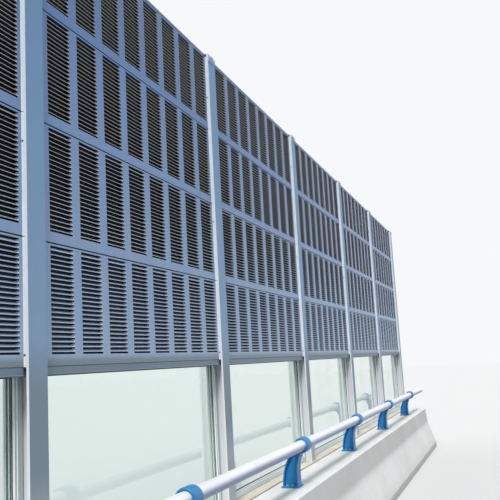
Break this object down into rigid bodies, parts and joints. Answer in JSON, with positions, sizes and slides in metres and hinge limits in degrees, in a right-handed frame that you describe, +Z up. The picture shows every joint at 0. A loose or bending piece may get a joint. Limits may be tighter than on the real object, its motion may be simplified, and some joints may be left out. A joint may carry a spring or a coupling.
{
  "type": "noise barrier section",
  "caption": "Roadside noise barrier on a concrete parapet: H posts, louvred absorbing panels above clear glazed frames, and a round handrail on cast brackets along the road side.",
  "frame": {"origin": "centre of the parapet's underside, on the ground", "axes": "+X along the wall, -Y towards the road, +Z up"},
  "size_m": [12.2, 0.64, 3.513],
  "materials": {
    "concrete": "cast, weathered",
    "mortar": "trowelled",
    "post_paint": "satin",
    "cap_paint": "satin",
    "panel_paint": "satin",
    "sill_paint": "satin",
    "filler_strip": "matt",
    "filler_rubber": "matt",
    "mineral_wool": "faced wool",
    "frame_metal": "anodised",
    "clear_sheet": "clear, faint green",
    "rail_paint": "gloss",
    "sleeve_steel": "galvanised",
    "bracket_paint": "gloss"
  },
  "bodies": {
    "root": {"panel_bay1_row1": "panel_paint", "panel_bay1_row2": "panel_paint", "panel_bay1_row3": "panel_paint", "panel_bay1_row4": "panel_paint", "panel_bay2_row1": "panel_paint", "panel_bay2_row2": "panel_paint", "panel_bay2_row3": "panel_paint", "panel_bay2_row4": "panel_paint", "panel_bay3_row1": "panel_paint", "panel_bay3_row2": "panel_paint", "panel_bay3_row3": "panel_paint", "panel_bay3_row4": "panel_paint", "panel_bay4_row1": "panel_paint", "panel_bay4_row2": "panel_paint", "panel_bay4_row3": "panel_paint", "panel_bay4_row4": "panel_paint", "panel_bay5_row1": "panel_paint", "panel_bay5_row2": "panel_paint", "panel_bay5_row3": "panel_paint", "panel_bay5_row4": "panel_paint", "panel_bay6_row1": "panel_paint", "panel_bay6_row2": "panel_paint", "panel_bay6_row3": "panel_paint", "panel_bay6_row4": "panel_paint", "post_1": "post_paint", "post_2": "post_paint", "post_3": "post_paint", "post_4": "post_paint", "post_5": "post_paint", "post_6": "post_paint", "post_7": "post_paint", "rail_bracket_1": "bracket_paint", "rail_bracket_2": "bracket_paint", "rail_bracket_3": "bracket_paint", "rail_bracket_4": "bracket_paint", "rail_bracket_5": "bracket_paint", "rail_bracket_6": "bracket_paint", "parapet": "concrete", "bedding": "mortar", "glazing_frames": "frame_metal", "clear_panes": "clear_sheet", "sills": "sill_paint", "front_fillers": "filler_strip", "rear_fillers": "filler_rubber", "absorber_slabs": "mineral_wool", "top_trims": "panel_paint", "post_caps": "cap_paint", "rail_tubes": "rail_paint", "rail_sleeves": "sleeve_steel"}
  },
  "joints": []
}
